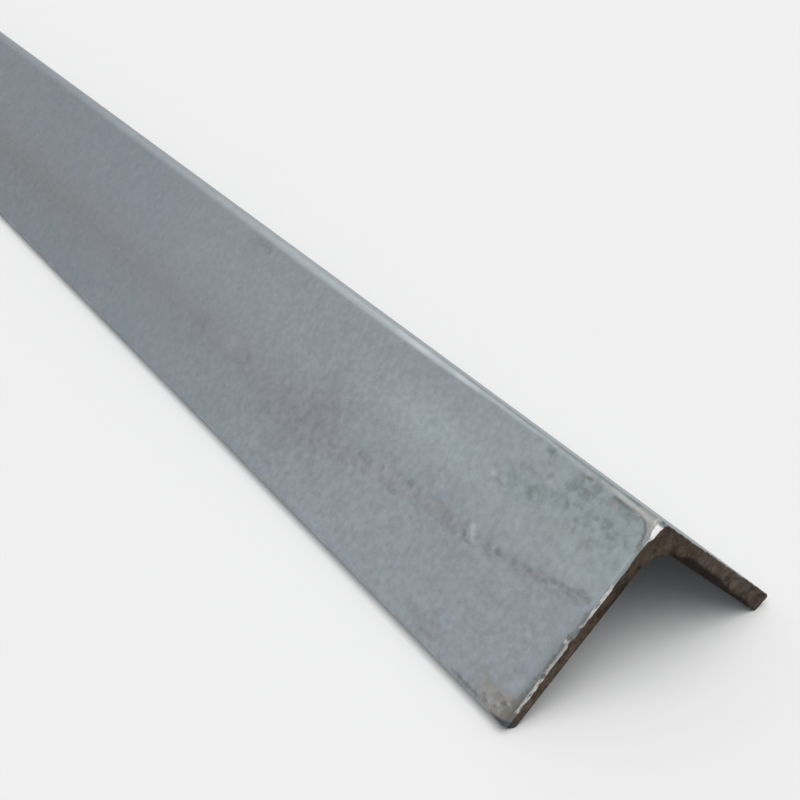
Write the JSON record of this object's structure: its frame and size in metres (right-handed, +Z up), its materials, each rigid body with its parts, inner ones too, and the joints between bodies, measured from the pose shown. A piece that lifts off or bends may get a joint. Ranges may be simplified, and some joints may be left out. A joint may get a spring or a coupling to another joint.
{
  "type": "steel angle section",
  "caption": "Hot-rolled steel equal leg angle, a straight length of L-shaped framing stock with mill scale, plain legs and sheared ends.",
  "frame": {"origin": "on the floor below the heel, at half the length: the bottom centre of the bounding box", "axes": "+X along the length towards the near cut end, +Z up with the heel on top, leg A slopes down to -Y and leg B slopes down to +Y, so that the piece rests on the tips of both legs"},
  "size_m": [0.9144, 0.0712, 0.0383],
  "materials": {
    "mill_scale_steel": "blue-grey mill scale, dull, worn bright along the heel"
  },
  "bodies": {
    "root": {"angle_section": "mill_scale_steel"}
  },
  "joints": []
}
